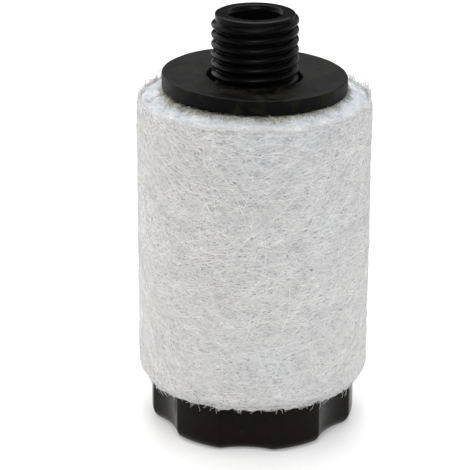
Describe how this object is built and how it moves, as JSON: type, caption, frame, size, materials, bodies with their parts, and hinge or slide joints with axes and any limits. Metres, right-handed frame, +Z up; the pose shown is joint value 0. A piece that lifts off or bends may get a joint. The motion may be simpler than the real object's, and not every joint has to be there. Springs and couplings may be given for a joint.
{
  "type": "pneumatic muffler",
  "caption": "Exhaust muffler with a threaded inlet nipple, loose flat gasket, fibrous sleeve element and a scalloped screw cap.",
  "frame": {"origin": "centre of the bottom cap's base, which is the bottom of the whole muffler", "axes": "+Z up along the inlet axis towards the thread; -Y is the side that faces the viewer in the reference view"},
  "size_m": [0.03, 0.03, 0.0549],
  "materials": {
    "black_nylon": "glossy moulded nylon",
    "gasket_rubber": "matt, lightly mottled",
    "o_ring_rubber": "smooth, satin",
    "white_nonwoven": "fibrous non-woven",
    "blue_felt": "needled felt",
    "microfibre": "fine non-woven",
    "foam": "open-cell foam",
    "sump_felt": "pressed felt",
    "urethane_seal": "cast urethane",
    "natural_nylon": "satin natural nylon",
    "core_steel": "brushed, perforated",
    "wire_steel": "woven wire",
    "zinc_steel": "zinc plated",
    "brass": "machined brass"
  },
  "bodies": {
    "filter_body": {"inlet_nipple": "black_nylon", "spigot_o_ring": "o_ring_rubber", "inlet_strainer": "wire_steel", "strainer_ring": "zinc_steel", "core_tube": "core_steel", "core_mesh_sleeve": "wire_steel", "inner_foam": "foam", "microfibre_wrap_inner": "microfibre", "microfibre_wrap_outer": "microfibre", "top_end_seal": "urethane_seal", "bottom_end_seal": "urethane_seal", "outer_support_tube": "core_steel", "drain_felt": "blue_felt", "outer_wrap": "white_nonwoven", "lower_end_disc": "black_nylon", "core_end_plug": "black_nylon", "plug_o_ring": "o_ring_rubber", "tie_stud": "zinc_steel"},
    "port_gasket": {"port_gasket": "gasket_rubber"},
    "cap_carrier": {"slip_washer": "natural_nylon"},
    "screw_cap": {"bottom_cap": "black_nylon", "cap_insert": "brass", "sump_pad": "sump_felt"}
  },
  "joints": [
    {"name": "gasket_lift", "type": "slide", "parent": "filter_body", "child": "port_gasket", "axis": [0, 0, 1], "range_m": [0, 0.0125]},
    {"name": "cap_travel", "type": "slide", "parent": "filter_body", "child": "cap_carrier", "axis": [0, 0, -1], "range_m": [0, 0.0046]},
    {"name": "cap_turn", "type": "hinge", "parent": "cap_carrier", "child": "screw_cap", "pos_m": [0, 0, 0.0034], "axis": [0, 0, -1], "range_deg": [0, 1656]}
  ],
  "couplings": [
    {"joint": "cap_travel", "follows": "cap_turn", "m_per_rad": 0.00015915}
  ]
}
